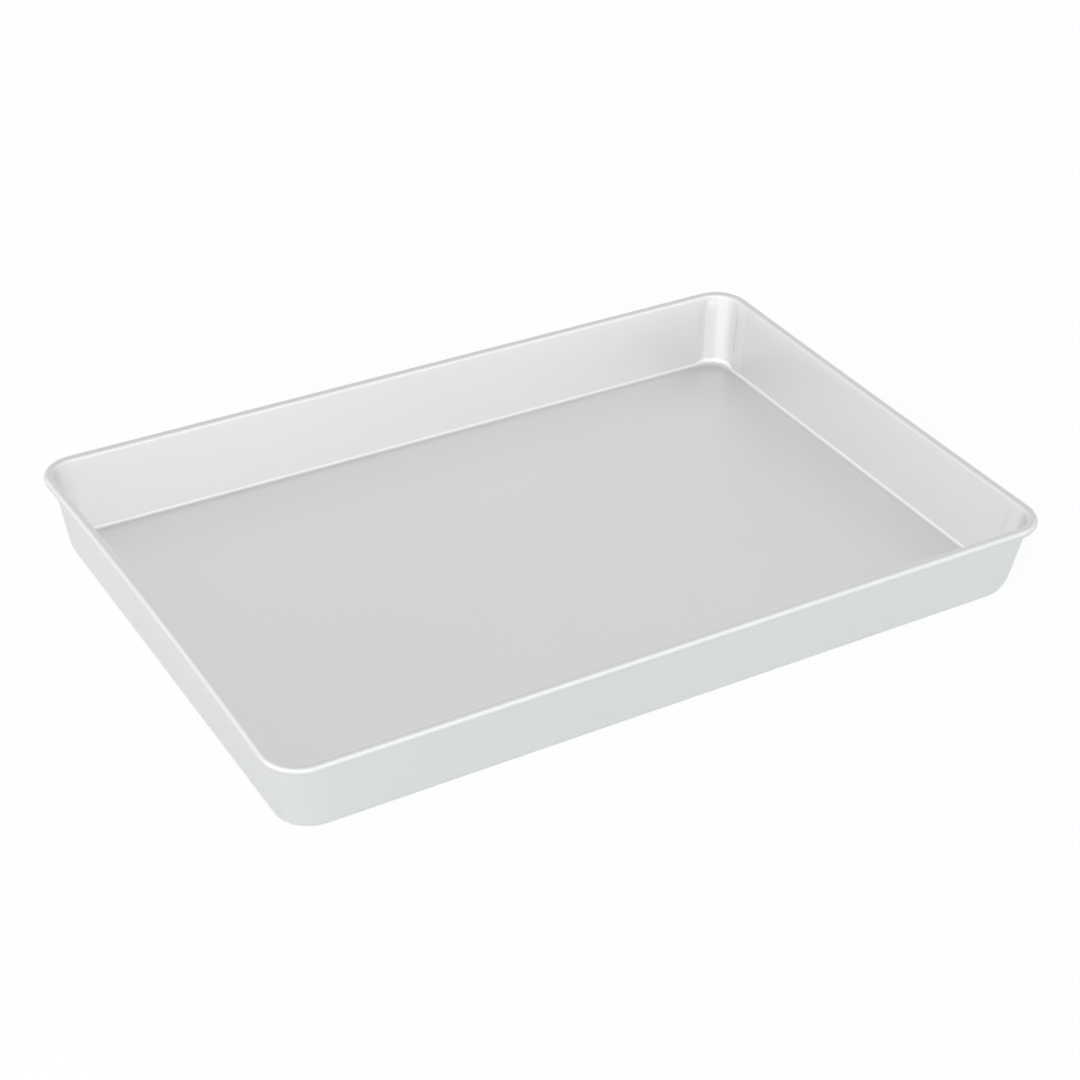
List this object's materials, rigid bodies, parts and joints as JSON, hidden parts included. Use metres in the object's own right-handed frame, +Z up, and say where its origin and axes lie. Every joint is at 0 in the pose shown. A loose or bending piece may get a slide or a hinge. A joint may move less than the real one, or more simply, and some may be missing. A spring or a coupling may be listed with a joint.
{
  "type": "rectangular cake pan",
  "caption": "Shallow rectangular baking pan: leaning walls, rounded corners, filleted flat floor and a rim rolled outwards round a reinforcing wire.",
  "frame": {"origin": "middle of the flat underside, on the surface that the pan stands on", "axes": "+X along the pan's length, +Y along its width, +Z up out of the open top"},
  "size_m": [0.48, 0.3264, 0.0485],
  "materials": {
    "satin_anodised_aluminium": "satin anodised, fine vertical draw marks near the corners",
    "galvanised_steel": "galvanised, hidden inside the rolled rim"
  },
  "bodies": {
    "root": {"pan_body": "satin_anodised_aluminium", "rim_wire": "galvanised_steel"}
  },
  "joints": []
}
